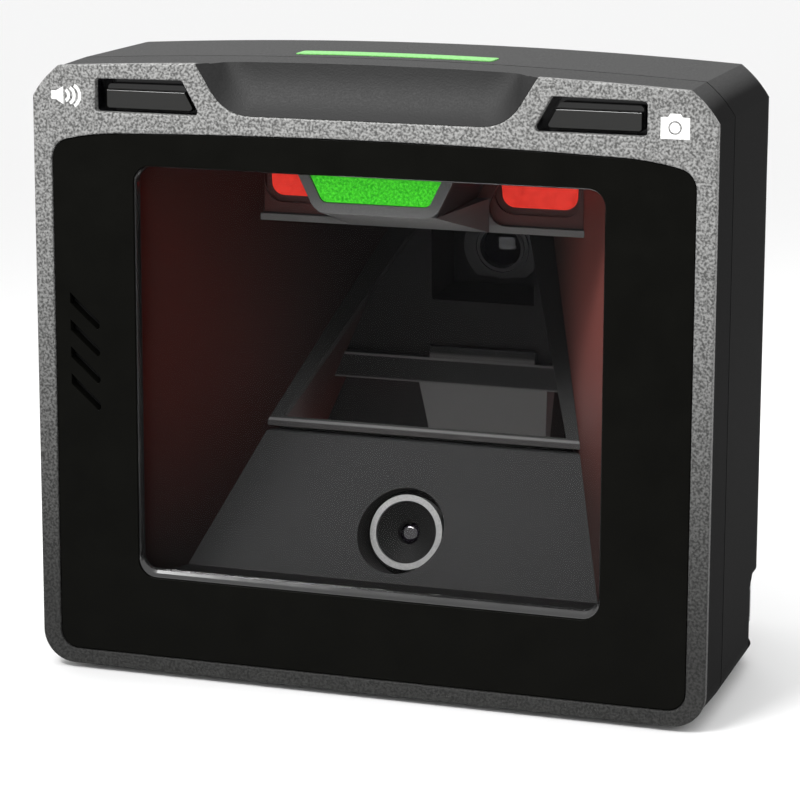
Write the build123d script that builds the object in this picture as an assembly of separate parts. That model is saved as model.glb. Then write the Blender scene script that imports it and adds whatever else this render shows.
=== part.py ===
from build123d import *
from math import asin, cos, degrees, hypot, radians, sin, sqrt
import os

# Single-plane presentation barcode scanner, built as an assembly of separate parts.
#
# Millimetres. +X is to the right as you face the window, +Y goes back into the casing and +Z is
# up. The origin is at the middle of the footprint, on the surface the scanner stands on. Depths
# are measured back from the front face, and heights up from the casing's underside.

# ---------------------------------------------------------------- driving dimensions
width = 152.4                 # overall, across the front face
body_height = 137.3           # underside of the casing to the crown of its arched top
depth = 86.0                  # front face to back face
foot_height = 1.0             # the rubber feet lift the casing this much
wall = 2.4                    # casing wall
arch_radius = 1150.0          # crown of the top
lower_corner = 7.5            # radius of the two bottom corners
shoulder_across = 6.2         # the cut top corners, across and down
shoulder_down = 6.9
bezel_thickness = 1.8
seam_depth = 15.0             # where the front casing meets the rear casing
straight_depth = 49.0         # the sides run straight back to here, then taper
taper_stations = (53.5, 58.0, 63.0, 69.0, 77.0, 86.0)
back_half_width = 54.0        # the back face's outline
back_height = 126.0
panel_face = 0.4              # the gloss panel sits this far behind the bezel's face
panel_back = 3.0
panel_half_width = 71.6
panel_low = 3.7
panel_high = 121.5
window_width = 105.4
window_height = 92.3
window_middle = 67.75         # above the casing's underside
window_corner = 4.0
glass_back = 5.0
front_wall_back = 5.8         # back of the front casing's front wall
flange_back = 7.3
chamber_wall = 1.6
chamber_back = 81.9           # the chamber's rear end
mirror_slope = 47.0           # degrees above the horizontal
mirror_start = (42.5, 50.0)   # depth and height of the mirror's lower front edge
mirror_end_depth = 80.6
mirror_thickness = 1.5
deck_front = (17.6, 20.3)     # depth and height of the sloping deck's front edge
deck_rear = (40.7, 47.2)
ceiling_low = 98.0            # underside of the chamber's ceiling
imager_depth = 70.0           # the imager looks down on the mirror at this depth
camera_tilt = 19.0            # the colour camera looks up by this angle
camera_depth = 26.1           # where its axis meets the deck
slip = 0.15                   # clearance round a part that drops into an opening

front = -depth / 2            # y of the front face
base = foot_height            # z of the casing's underside
shadow_gap = 0.1
groove = 0.25                 # the fine groove that marks the seam: its depth, and half its width


# ---------------------------------------------------------------- helpers
def plane_at(deep):
    """A plane facing forwards at a depth, its own y axis pointing up from the casing's underside."""
    return Plane((0, front + deep, base), x_dir=(1, 0, 0), z_dir=(0, -1, 0))


def slab(outline, near, far):
    """A front-view outline given thickness between two depths."""
    return extrude(plane_at(far) * outline, far - near, dir=(0, -1, 0))


def side_prism(points, left, right):
    """An outline of (depth, height) points, run across from left to right."""
    plane = Plane((left, front, base), x_dir=(0, 1, 0), z_dir=(1, 0, 0))
    return extrude(plane * Polygon(*points, align=None), right - left, dir=(1, 0, 0))


def plan_prism(points, low, high):
    """An outline of (across, depth) points seen from above, run up from low to high."""
    plane = Plane((0, front, base + low), x_dir=(1, 0, 0), z_dir=(0, 0, 1))
    return extrude(plane * Polygon(*points, align=None), high - low, dir=(0, 0, 1))


def block(across, deep, high):
    """A box from three (from, to) pairs: across, depth and height."""
    size = [b - a for a, b in (across, deep, high)]
    middle = [(a + b) / 2 for a, b in (across, deep, high)]
    return Pos(middle[0], front + middle[1], base + middle[2]) * Box(*size)


def rod(radius, across, high, near, far):
    """A round bar along the depth, at one place in the front view."""
    return slab(Pos(across, high) * Circle(radius), near, far)


def both_sides(shape):
    """A shape and its mirror image in the middle plane."""
    return [shape, mirror(shape, about=Plane.YZ)]


def round_front(part, radius):
    """Rounds every edge of the part's foremost flat face."""
    edges = part.faces().sort_by(Axis.Y)[0].edges()
    return fillet(edges, radius)


def outline(half, low, crown, corner, across, down, bulge=0.45):
    """Front-view outline: straight sides, round bottom corners, cut shoulders, arched top."""
    shoulder_x = half - across
    shoulder_z = crown - (arch_radius - sqrt(arch_radius ** 2 - shoulder_x ** 2))
    side_z = shoulder_z - down
    lean = hypot(across, down)
    out = (down / lean * bulge, across / lean * bulge)
    middle = (half - across / 2 + out[0], shoulder_z - down / 2 + out[1])
    bend = corner * (1 - sqrt(0.5))
    return make_face(
        Curve()
        + [
            Line((-half + corner, low), (half - corner, low)),
            ThreePointArc((half - corner, low), (half - bend, low + bend), (half, low + corner)),
            Line((half, low + corner), (half, side_z)),
            ThreePointArc((half, side_z), middle, (shoulder_x, shoulder_z)),
            ThreePointArc((shoulder_x, shoulder_z), (0, crown), (-shoulder_x, shoulder_z)),
            ThreePointArc((-shoulder_x, shoulder_z), (-middle[0], middle[1]), (-half, side_z)),
            Line((-half, side_z), (-half, low + corner)),
            ThreePointArc((-half, low + corner), (-half + bend, low + bend), (-half + corner, low)),
        ]
    )


def casing_outline(inset=0.0):
    """The casing's outline, moved in evenly by a wall thickness."""
    slant = shoulder_across + shoulder_down - hypot(shoulder_across, shoulder_down)
    return outline(
        width / 2 - inset,
        inset,
        body_height - inset,
        lower_corner - inset,
        shoulder_across - inset * slant / shoulder_down,
        shoulder_down - inset * slant / shoulder_across,
    )


def rear_outline(deep, inset=0.0):
    """The casing's outline where it tapers, gently at first and then evenly, towards the back."""
    along = (deep - straight_depth) / (depth - straight_depth)
    ease = 0.25
    taper = (hypot(along, ease) - ease) / (hypot(1, ease) - ease)
    return outline(
        width / 2 - inset - taper * (width / 2 - back_half_width),
        inset,
        body_height - inset - taper * (body_height - back_height),
        lower_corner - inset * 0.8 + taper * 2.5,
        shoulder_across - inset * 0.55 + taper * 3.5,
        shoulder_down - inset * 0.6 + taper * 2.5,
        0.45 + 0.25 * taper,
    )


def panel_outline(grow=0.0):
    """The gloss panel: a shallow arch that turns down into soft top corners."""
    crown_radius, turn_radius = 1600.0, 60.0
    first = degrees(asin(56.0 / crown_radius))
    second = degrees(asin(sin(radians(first)) + 12.3 / turn_radius)) - first
    arch = JernArc((0, panel_high), (1, 0), crown_radius, -first)
    turn = JernArc(arch @ 1, arch % 1, turn_radius, -second)
    reach = panel_half_width - (turn @ 1).X
    corner_radius = reach / (1 - sin(radians(first + second)))
    corner = JernArc(turn @ 1, turn % 1, corner_radius, -(90 - first - second))
    foot_radius = 4.0
    side = Line(corner @ 1, ((corner @ 1).X, panel_low + foot_radius))
    foot = JernArc(side @ 1, (0, -1), foot_radius, -90)
    floor = Line(foot @ 1, (0, panel_low))
    middle = Line((0, panel_low), (0, panel_high))
    half = make_face(Curve() + [arch, turn, corner, side, foot, floor, middle])
    whole = half + mirror(half, about=Plane.YZ)
    return offset(whole, grow) if grow else whole


def window_outline(grow=0.0):
    """The scan window's opening."""
    return Pos(0, window_middle) * RectangleRounded(
        window_width + 2 * grow, window_height + 2 * grow, window_corner + grow
    )


def brow_outline(grow=0.0):
    """The cut-out in the bezel's top edge, open upwards, with widely rounded lower corners."""
    low, high, top_half, low_half = 125.6, 142.0, 41.4, 31.3
    shape = Polygon(
        (-low_half, low), (low_half, low), (top_half, high), (-top_half, high), align=None
    )
    shape = fillet(shape.vertices().group_by(Axis.Y)[0], 10.0)
    return offset(shape, grow) if grow else shape


def pocket_outline(grow=0.0):
    """The right-hand button's pocket: upright at its outer end, slanted at its inner end."""
    shape = Polygon((36.8, 125.2), (61.2, 125.2), (61.2, 132.4), (41.0, 132.7), align=None)
    shape = fillet(shape.vertices(), 0.9)
    return offset(shape, grow) if grow else shape


# ---------------------------------------------------------------- outside: front
def front_bezel():
    """Textured face plate that frames the panel, the two buttons and the brow."""
    plate = slab(casing_outline(0.25), 0, bezel_thickness)
    plate -= slab(panel_outline(slip), -1, bezel_thickness + 1)
    plate -= slab(brow_outline(), -1, bezel_thickness + 1)
    for pocket in both_sides(slab(pocket_outline(), -1, bezel_thickness + 1)):
        plate -= pocket
    return round_front(plate, 0.35)


slot_rise = 6.07
slot_left, slot_right = -68.1, -61.2


def speaker_slot(number):
    """One slanted slot in the panel, counted down from the top."""
    top = 84.9 - number * slot_rise
    bar = Polygon(
        (slot_left, top),
        (slot_left, top - 2.3),
        (slot_right - 0.5, top - 7.9),
        (slot_right, top - 7.4),
        (slot_right, top - 6.2),
        align=None,
    )
    return fillet(bar.vertices().sort_by(Axis.X)[2:], 0.25)


def front_panel():
    """Gloss panel round the scan window, with four sound slots at its left edge."""
    plate = slab(panel_outline(), panel_face, panel_back)
    plate -= slab(window_outline(), -1, panel_back + 1)
    for number in range(4):
        plate -= slab(speaker_slot(number), -1, panel_back + 1)
    return round_front(plate, 0.2)


def window_trim():
    """Gloss ring that lines the window opening: thin, but with a broad rounded sill."""
    ring_front, ring_width, sill_rise = 0.9, 0.5, 1.3
    sections = []
    # each section: depth, and how far the ring has come in as a share of its width
    for deep, share in ((ring_front - 0.1, 0.05), (1.2, 0.55), (1.7, 0.87), (2.3, 1.0)):
        inward, rise = ring_width * share, sill_rise * share
        opening = RectangleRounded(
            window_width - 2 * inward, window_height - 2 * inward - rise, window_corner - inward
        )
        sections.append(plane_at(deep) * Pos(0, window_middle + rise / 2) * opening)
    ring = slab(window_outline(-0.1), ring_front, panel_back)
    ring -= loft(sections, ruled=True)
    clear = (window_width - 2 * ring_width, window_height - 2 * ring_width - sill_rise)
    opening = Pos(0, window_middle + sill_rise / 2) * RectangleRounded(*clear, window_corner - ring_width)
    return ring - slab(opening, 2.2, panel_back + 1)


def scan_window():
    """Clear pane behind the panel."""
    return slab(window_outline(2.2), panel_back, glass_back)


def window_gasket():
    """Foam ring between the pane and the optical chamber's flange."""
    return slab(window_outline(2.2) - window_outline(0.6), glass_back, front_wall_back)


def brow_scoop():
    """The hollow scooped out of the front casing's top edge, deepest at the top."""
    sections = []
    for deep, lift, inward in ((bezel_thickness - 1.5, 0.0, 0.0), (3.4, 4.4, 3.6), (5.6, 12.4, 5.6)):
        low, high = 125.7 + lift, 146.0
        top_half = 43.8 - inward
        low_half = top_half - (high - low) * 0.619
        shape = Polygon((-low_half, low), (low_half, low), (top_half, high), (-top_half, high), align=None)
        sections.append(plane_at(deep) * fillet(shape.vertices().group_by(Axis.Y)[0], 9.5))
    return loft(sections, ruled=False)


screw_places = ((-66.0, 32.0), (66.0, 32.0), (-65.0, 117.0), (65.0, 117.0))
light_bar_depth = (19.5, 26.0)
light_bar_half = 22.3


def seam_groove():
    """The ring cut from both shells' outer edges where they meet."""
    ring = casing_outline(-1.0) - casing_outline(groove)
    return slab(ring, seam_depth - groove, seam_depth + groove)


def front_casing():
    """Front shell: front wall, side band and the screw bosses. The brow is scooped into it."""
    outer = loft(
        [plane_at(bezel_thickness) * casing_outline(0.45), plane_at(seam_depth) * casing_outline(0.0)],
        ruled=True,
    )
    hollow = slab(casing_outline(wall), front_wall_back, seam_depth + 1)
    boss_room = [rod(3.4, x, z, front_wall_back - 1, seam_depth) for x, z in screw_places]
    shell = outer - hollow
    for boss in boss_room:
        shell += boss
    shell += slab(brow_outline(-shadow_gap) & casing_outline(0.3), 0.3, bezel_thickness + 0.5)
    shell += slab(brow_outline(1.5) & casing_outline(0.6), 4.0, 8.6)
    shell -= brow_scoop()
    shell -= slab(panel_outline(slip), -1, panel_back)
    shell -= slab(window_outline(2.35), -1, front_wall_back + 1)
    for pocket in both_sides(slab(pocket_outline(0.85), -1, front_wall_back + 4)):
        shell -= pocket
    shell -= slab(Pos(-64.6, 71.7) * RectangleRounded(8.6, 28.0, 2.0), 0, front_wall_back + 1)
    for x, z in screw_places:
        shell -= rod(1.5, x, z, 7.5, seam_depth + 1)
    for foot in foot_places[:2]:
        shell -= foot_room(foot)
    return shell - seam_groove()


# ---------------------------------------------------------------- outside: rear
foot_radius = 4.6
foot_places = ((-58.0, 8.6), (58.0, 8.6), (-40.0, 74.0), (40.0, 74.0))
foot_recess = 0.8
insert_spacing = 60.0
insert_height = 62.0
insert_radius = 3.0
insert_length = 8.5
bay_half, bay_low, bay_high, bay_depth = 24.0, 5.0, 27.0, 66.0
recess_floor = 73.2           # the side recess is cut in to here
well_floor = 42.0             # the screws' heads seat at this depth
board_low = 6.4
board_thickness = 1.6
board_screws = ((-46.0, 24.0), (46.0, 24.0), (-46.0, 59.0), (46.0, 59.0))
key_middle = (50.4, 128.3)
key_floor = 6.0
switch_front = 8.4
well_back = 11.8
deck_rise = (deck_rear[1] - deck_front[1]) / (deck_rear[0] - deck_front[0])


def foot_room(place):
    """The shallow recess that a foot is glued into."""
    x, deep = place
    middle = base + foot_recess / 2 - 0.5
    return Pos(x, front + deep, middle) * Cylinder(foot_radius + 0.1, foot_recess + 1.0)


def rear_shell(inset, near, far):
    """The rear casing's envelope as a solid, moved in by a wall thickness."""
    turn = plane_at(straight_depth) * casing_outline(inset)
    straight = loft([plane_at(near) * casing_outline(inset), turn], ruled=True)
    stations = [plane_at(deep) * rear_outline(deep, inset) for deep in taper_stations]
    taper = loft([turn] + stations)
    return straight + taper - block((-width, width), (far, depth + 9), (-9, body_height + 9))


def rear_casing():
    """Rear shell, with its cable bay, side port recess, screw wells and mounting bosses."""
    outer = rear_shell(0.0, seam_depth, depth + 1)
    outer = fillet(outer.faces().sort_by(Axis.Y)[-1].edges(), 3.0)
    shell = outer - rear_shell(wall, seam_depth - 1, depth - wall)
    # an inner lip keys the two shells together
    lip_near, lip_far = seam_depth - 1.7, seam_depth + 3
    lip = slab(casing_outline(wall + 0.15) - casing_outline(wall + 1.3), lip_near, seam_depth)
    brace = slab(casing_outline(wall - 0.2) - casing_outline(wall + 1.3), seam_depth, lip_far)
    shell += brace
    shell += lip
    for x, z in screw_places:
        shell += rod(3.4, x, z, seam_depth, well_floor)
        shell += rod(4.6, x, z, well_floor - 2, depth) & outer
        shell -= rod(3.3, x, z, well_floor, depth)
        shell -= rod(1.7, x, z, seam_depth - 1, well_floor + 1)
    bay = block((-bay_half, bay_half), (bay_depth, depth + 1), (bay_low, bay_high))
    bay_wall = block(
        (-bay_half - 1.8, bay_half + 1.8), (bay_depth - 1.8, depth - 1), (1.0, bay_high + 1.8)
    )
    shell += bay_wall & outer
    shell -= fillet(bay.edges().filter_by(Axis.Y), 2.0)
    shell -= block((-8.1, 8.1), (bay_depth - 5, bay_depth + 1), (7.9, 19.9))
    corner = ((43.5, 6.0), (43.5, 19.5), (46.0, 22.0), (60.0, 22.0), (60.0, 4.0), (45.5, 4.0))
    shell += block((recess_floor - 1.8, width / 2 - 0.5), (41.5, 61.8), (1.5, 24.0)) & outer
    shell -= side_prism(corner, recess_floor, width)
    shell -= block((recess_floor - 3, recess_floor + 1), (46.6, 56.0), (7.9, 17.0))
    for x in (-insert_spacing / 2, insert_spacing / 2):
        shell += rod(5.0, x, insert_height, depth - 11, depth - 1)
        shell -= rod(insert_radius, x, insert_height, depth - insert_length, depth + 1)
    for x, deep in board_screws:
        shell += Pos(x, front + deep, base + (board_low + 1.5) / 2) * Cylinder(3.0, board_low - 1.5)
        shell -= Pos(x, front + deep, base + board_low - 1.5) * Cylinder(1.1, 3.2)
    for foot in foot_places[2:]:
        shell -= foot_room(foot)
    bar = block((-light_bar_half - slip, light_bar_half + slip), light_bar_depth, (130, 140))
    shell -= fillet(bar.edges().filter_by(Axis.Z), 1.0)
    return shell - seam_groove()


# ---------------------------------------------------------------- small outside parts
def light_bar():
    """Light guide let into the top surface."""
    near, far = light_bar_depth
    bar = block((-light_bar_half, light_bar_half), (near + slip, far - slip), (132.4, 140))
    bar = fillet(bar.edges().filter_by(Axis.Z), 0.9)
    bar &= slab(casing_outline(-0.15), near, far)
    return bar + block((-light_bar_half - 2, light_bar_half + 2), (near - 1.2, far + 1.2), (132.4, 134.4))


def light_bar_board():
    """Small board under the light bar."""
    near, far = light_bar_depth
    return block((-light_bar_half - 2, light_bar_half + 2), (near - 1.2, far + 1.2), (130.4, 131.4))


def light_bar_diodes():
    """Row of diodes on the small board."""
    middle = sum(light_bar_depth) / 2
    along = (middle - 1.0, middle + 1.0)
    return [block((x - 1.0, x + 1.0), along, (131.4, 132.2)) for x in (-18, -6, 6, 18)]


def button_well():
    """Gloss lining of a key pocket, with a floor that the key's stem passes through."""
    tube = slab(pocket_outline(0.8), bezel_thickness, well_back)
    tube -= slab(pocket_outline(), 0, well_back + 1)
    tube += slab(pocket_outline(0.4), key_floor, key_floor + 0.8)
    return tube - rod(2.0, *key_middle, 0, well_back)


def key_outline():
    """The keycap's outline: a smaller copy of its pocket's."""
    shape = Polygon((38.9, 125.7), (59.6, 125.7), (59.6, 131.0), (41.85, 131.1), align=None)
    return fillet(shape.vertices(), 0.8)


def button():
    """Keycap with a slanted inner end and a stepped top, on a round stem."""
    face_top, face_front, step_front, back = 129.9, 2.4, 3.7, 5.2
    cap = slab(key_outline(), face_front, back)
    cap -= block((30, 70), (0, step_front), (face_top, 140))
    front_face = cap.faces().filter_by(Axis.Y).sort_by(Axis.Y)[0]
    cap = fillet(front_face.edges(), 0.35)
    return cap + rod(1.6, *key_middle, back - 0.2, switch_front)


def switch_plunger():
    """The switch's own plunger, which the stem pushes."""
    return rod(1.2, *key_middle, switch_front, switch_front + 2.4)


def switch_body():
    """Tact switch, soldered to the button board."""
    x, z = key_middle
    can = block((x - 3.0, x + 3.0), (9.2, well_back), (z - 2.6, z + 2.6))
    return can - rod(1.26, *key_middle, 8, well_back - 0.3)


def button_board():
    """Board that closes the back of the well and carries the switch."""
    return slab(pocket_outline(0.8), well_back, well_back + 1.2)


def rubber_feet():
    """Four round feet glued into recesses in the underside."""
    return [
        Pos(x, front + deep, (base + foot_recess) / 2) * Cylinder(foot_radius, base + foot_recess)
        for x, deep in foot_places
    ]


def casing_screws():
    """Four pan-head screws, driven from the back of the casing."""
    return [
        rod(2.8, x, z, well_floor, well_floor + 2.2) - rod(1.1, x, z, well_floor + 1, well_floor + 3)
        + rod(1.45, x, z, 8.0, well_floor)
        for x, z in screw_places
    ]


def mounting_inserts():
    """Two threaded brass inserts in the back; the thread is left out."""
    return [
        rod(insert_radius, x, insert_height, depth - insert_length, depth - 0.1)
        - rod(2.0, x, insert_height, depth - insert_length - 1, depth)
        for x in (-insert_spacing / 2, insert_spacing / 2)
    ]


# ---------------------------------------------------------------- optical chamber
def chamber_half(deep):
    """Half the chamber's inner width at a depth."""
    return 48.0 - 0.4545 * (deep - deck_front[0])


def chamber_side_wall():
    """The right-hand wall, with its part of the flange behind the window."""
    near, far = front_wall_back, chamber_back
    wall_plan = [
        (chamber_half(near), near),
        (chamber_half(far), far),
        (chamber_half(far) + chamber_wall * 1.1, far),
        (chamber_half(near) + chamber_wall * 1.1, near),
    ]
    side = plan_prism(wall_plan, 18.7, 118.0)
    side -= side_prism(((46.0, 0), (46.0, 38.0), (far + 1, 75.0), (far + 1, 0)), 0, width)
    flange = block((chamber_half(near), 57.5), (near, flange_back), (18.7, 118.0))
    return side + flange


def chamber_floor():
    """Front part of the chamber's floor, below the window."""
    near, far = front_wall_back, deck_front[0]
    plan = [
        (-chamber_half(near), near),
        (chamber_half(near), near),
        (chamber_half(far), far),
        (-chamber_half(far), far),
    ]
    return plan_prism(plan, 18.7, deck_front[1])


ring_face = 4.2               # along the camera's axis, behind the deck's surface
cone_back = 8.6
camera_board_back = 16.2
throat_radius = 2.6


def camera_plane(along):
    """A plane square to the colour camera's axis, some way in behind the deck's surface."""
    run = (cos(radians(camera_tilt)), -sin(radians(camera_tilt)))
    height = deck_front[1] + (camera_depth - deck_front[0]) * deck_rise
    return Plane(
        (0, front + camera_depth + run[0] * along, base + height + run[1] * along),
        x_dir=(1, 0, 0),
        z_dir=(0, -run[0], -run[1]),
    )


def camera_rod(radius, near, far):
    """A round bar along the colour camera's axis."""
    return extrude(camera_plane(far) * Circle(radius), far - near)


def sensor_deck():
    """Sloping shelf between the chamber's walls, with a collared port for the colour camera."""
    (d0, z0), (d1, z1) = deck_front, deck_rear
    back_step, ledge = 1.5, 2.3
    plate = side_prism(
        ((d0, z0), (d1, z1), (d1 + ledge, z1), (d1 + ledge, z1 - 1.3), (d1 + back_step, z1 - 1.3),
         (d0 + back_step, z0 - 1.3)),
        -60,
        60,
    )
    collar = camera_rod(11.3, -2, 9) & side_prism(((d0, z0), (d1, z1), (d1, 10), (d0, 10)), -60, 60)
    plan = [
        (-chamber_half(d0) + 0.05, d0),
        (chamber_half(d0) - 0.05, d0),
        (chamber_half(d1 + ledge) - 0.05, d1 + ledge),
        (-chamber_half(d1 + ledge) + 0.05, d1 + ledge),
    ]
    return ((plate + collar) & plan_prism(plan, 0, 80)) - camera_rod(10.0, -9, 20)


def camera_ring():
    """Grey ring round the colour camera."""
    return camera_rod(8.5, ring_face, cone_back - 0.05) - camera_rod(7.1, 1, cone_back)


def camera_cone():
    """Shallow black cone that shades the colour camera's lens."""
    mouth = camera_plane(ring_face + 0.5) * Circle(6.95)
    throat = camera_plane(ring_face + 2.3) * Circle(throat_radius)
    outer = camera_rod(7.05, ring_face + 0.5, cone_back)
    return outer - loft([mouth, throat]) - camera_rod(throat_radius, ring_face + 2, cone_back + 1)


def camera_lens():
    """Small lens with a domed front, deep in the cone's throat."""
    glass = extrude(camera_plane(cone_back + 0.7) * Circle(throat_radius - 0.1), 2.2)
    return fillet(glass.edges().group_by(Axis.Y)[0], 1.5)


def camera_barrel():
    """Barrel that holds the lens and cone on the board."""
    collar = camera_rod(9.9, cone_back, cone_back + 1.6) - camera_rod(throat_radius, 8, cone_back + 0.7)
    return collar + camera_rod(6.0, cone_back + 1.5, camera_board_back - 1.2)


def camera_board():
    """Board of the colour camera."""
    return extrude(camera_plane(camera_board_back) * RectangleRounded(24, 16, 1.5), 1.2)


# ---------------------------------------------------------------- fold mirror
mirror_plane = Plane(
    (0, front + mirror_start[0], base + mirror_start[1]),
    x_dir=(1, 0, 0),
    z_dir=(0, -sin(radians(mirror_slope)), cos(radians(mirror_slope))),
)
mirror_length = (mirror_end_depth - mirror_start[0]) / cos(radians(mirror_slope))


def mirror_slab(grow, low, high):
    """The mirror's tapering outline, given thickness from low to high above its face."""
    start_half, end_half = 33.9 + grow, 13.7 + grow
    shape = Polygon(
        (-start_half, -grow), (start_half, -grow), (end_half, mirror_length + grow),
        (-end_half, mirror_length + grow), align=None,
    )
    return extrude(mirror_plane.offset(low) * shape, high - low, dir=mirror_plane.z_dir)


def chamber_taper(clearance, low, high, near=deck_rear[0] + 1.6, far=chamber_back - 0.1):
    """The space between the chamber's side walls, a little narrower."""
    plan = [
        (-chamber_half(near) + clearance, near),
        (chamber_half(near) - clearance, near),
        (chamber_half(far) - clearance, far),
        (-chamber_half(far) + clearance, far),
    ]
    return plan_prism(plan, low, high)


def mirror_frame():
    """Rim that holds the mirror's edges from the front."""
    plate = extrude(mirror_plane * Pos(0, mirror_length / 2) * Rectangle(90, mirror_length + 14), 0.8)
    plate -= mirror_slab(0.0, -1, 2)
    return plate & chamber_taper(0.05, 40, ceiling_low, near=deck_rear[0] + 0.3)


def fold_mirror():
    """Front-surface mirror that turns the view up to the imager."""
    return mirror_slab(1.0, -mirror_thickness, 0) & chamber_taper(0.05, 30, 110, near=deck_rear[0])


def mirror_pad():
    """Foam behind the mirror."""
    return mirror_slab(0.6, -mirror_thickness - 0.8, -mirror_thickness) & chamber_taper(0.05, 30, 110)


def mirror_carrier():
    """Plate that presses the mirror and its foam against the rim."""
    low = -mirror_thickness - 2.4
    return mirror_slab(1.4, low, low + 1.6) & chamber_taper(0.05, 30, 110)


# ---------------------------------------------------------------- imager
ceiling_plate = 1.6
pocket_half = 12.8
pocket_front = 60.0
pocket_top = 116.0
holder_flat = 7.5             # the holder's flat edge is this far in front of its axis
imager_board_low = 122.6


def chamber_ceiling():
    """Ceiling over the mirror, with a square pocket that rises to the imager's lens."""
    near, far = bar_back + 0.2, chamber_back - 0.1
    skin = ceiling_plate
    plate = chamber_taper(0.05, ceiling_low, ceiling_low + skin, near=near)
    plate -= block((-spine_half - 0.2, spine_half + 0.2), (near - 1, spine_back + 0.2), (90, 110))
    outer = pocket_half + skin
    well = block((-outer, outer), (pocket_front - skin, far), (ceiling_low, pocket_top + skin))
    hollow = block((-pocket_half, pocket_half), (pocket_front, far - skin), (ceiling_low - 1, pocket_top))
    return plate + well - hollow - imager_stage(8.4, pocket_top - 1, pocket_top + 9)


def imager_stage(radius, low, high):
    """A round bar on the imager's upright axis."""
    return Pos(0, front + imager_depth, base + (low + high) / 2) * Cylinder(radius, high - low)


def imager_holder():
    """Holder of the imager's lens: a D-shaped flange with raised rings, under the pocket's top."""
    low = pocket_top - 1.8
    flange = imager_stage(9.6, low, pocket_top - 0.1)
    flange -= block((-20, 20), (imager_depth - 20, imager_depth - holder_flat), (low - 1, pocket_top))
    flange += imager_stage(7.1, low - 0.7, low) - imager_stage(6.3, low - 1, low + 1)
    neck = imager_stage(8.3, pocket_top - 0.5, imager_board_low)
    holder = flange + neck + imager_stage(5.9, low - 1.0, low)
    holder -= imager_stage(5.2, low - 2, pocket_top + 2.9)
    return holder - imager_stage(4.2, low, imager_board_low + 1)


def imager_lens():
    """Domed lens of the imager."""
    crown, bulge = pocket_top - 1.2, 9.0
    ball = Pos(0, front + imager_depth, base + crown + bulge) * Sphere(bulge)
    return ball & imager_stage(5.15, crown - 1, pocket_top + 2.8)


def imager_sensor():
    """Image sensor under the imager board."""
    low = imager_board_low - 1.2
    chip = block((-3.8, 3.8), (imager_depth - 3.4, imager_depth + 3.4), (low, imager_board_low))
    return chip & imager_stage(4.1, low - 1, imager_board_low + 1)


def imager_board():
    """Board of the imager, with a tab at one side for its flat cable."""
    deep = (imager_depth - 11, imager_depth + 9.5)
    return block((-14, 26), deep, (imager_board_low, imager_board_low + 1.2))


def chamber_bulkhead():
    """Upright wall across the chamber's rear end, from the mirror up to the ceiling."""
    half = chamber_half(chamber_back) + chamber_wall
    return block((-half, half), (chamber_back, chamber_back + 1.4), (86.0, 118.0))


# ---------------------------------------------------------------- illumination
nose_depth = 9.4
nose_low = 104.4              # underside of the nose's grey frame
spine_half = 13.2             # half the width of the moulding's middle
spine_back = 48.5
module_top = 112.5            # the lamp board lies on the moulding's top
lip_depth = 39.2              # front of the lamp pockets' rim
lip_low, lip_high = 96.8, 98.3
bar_low, bar_back = 96.3, 45.7
pocket_wall = 40.4            # back wall of the pockets, with a step round each diffuser
step_wall = 41.2
diffuser_back = 42.4
light_well_back = 44.8
roof_low = 110.9              # underside of the thin roof over the pockets
roof_front = 20.5


def lamp_pocket_outline():
    """The right-hand lamp pocket: slanted like the nose's side, with a round lower corner."""
    shape = Polygon((13.6, lip_high), (45.0, lip_high), (45.0, roof_low), (19.9, roof_low), align=None)
    return fillet(shape.vertices().sort_by(Axis.X)[0], 4.0)


def diffuser_outline(grow=0.0):
    """The right-hand diffuser: a little narrower at its foot, with round lower corners."""
    shape = Polygon((18.2, 110.7), (18.9, 102.4), (35.9, 102.4), (36.1, 110.7), align=None)
    shape = fillet(shape.vertices().group_by(Axis.Y)[0], 3.0)
    return offset(shape, grow) if grow else shape


def module_spine():
    """The moulding's middle: a trapezoid bar behind the nose, whose underside slopes down."""
    profile = (
        (nose_depth, nose_low), (lip_depth, lip_low), (bar_back, bar_low), (spine_back, bar_low + 0.9),
        (spine_back, module_top), (12.0, module_top), (12.0, 117.0), (nose_depth, 117.0),
    )
    section = Polygon(
        (-spine_half, 90), (spine_half, 90), (spine_half + 0.2, nose_low), (spine_half + 6.3, 117.0),
        (-spine_half - 6.3, 117.0), (-spine_half - 0.2, nose_low), align=None,
    )
    return side_prism(profile, -25, 25) & slab(section, nose_depth, spine_back)


def module_shelf():
    """Thin wedge that widens the spine's underside towards the lamp pockets' rim."""
    wedge = side_prism(((nose_depth, nose_low), (lip_depth, nose_low), (lip_depth, lip_low)), -25, 25)
    end_half = 16.2
    plan = (
        (-spine_half, nose_depth), (spine_half, nose_depth), (end_half, lip_depth), (-end_half, lip_depth),
    )
    return wedge & plan_prism(plan, 90, 110)


def illumination_housing():
    """Moulding behind the window's top edge: a centre nose between two lamp pockets."""
    bar = side_prism(
        ((lip_depth, lip_low), (bar_back, bar_low), (bar_back, module_top), (lip_depth, module_top)), -45, 45
    )
    bar &= chamber_taper(0.1, 90, 120, near=nose_depth, far=bar_back + 1)
    pockets = (
        slab(lamp_pocket_outline(), 0, pocket_wall)
        + slab(diffuser_outline(1.5), pocket_wall - 0.1, step_wall)
        + slab(diffuser_outline(0.1), step_wall - 0.1, diffuser_back)
        + slab(diffuser_outline(-0.8), diffuser_back - 0.1, light_well_back)
        + block((20.5, 35.5), (diffuser_back, light_well_back), (109, module_top + 1))
    )
    for pocket in both_sides(pockets):
        bar -= pocket
    roof = chamber_taper(0.1, roof_low, module_top, near=roof_front, far=lip_depth + 0.1)
    body = bar + roof + module_spine() + module_shelf()
    return body - block((-9, 9), (nose_depth - 1, 18.0), (107.0, module_top + 0.5))


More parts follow.
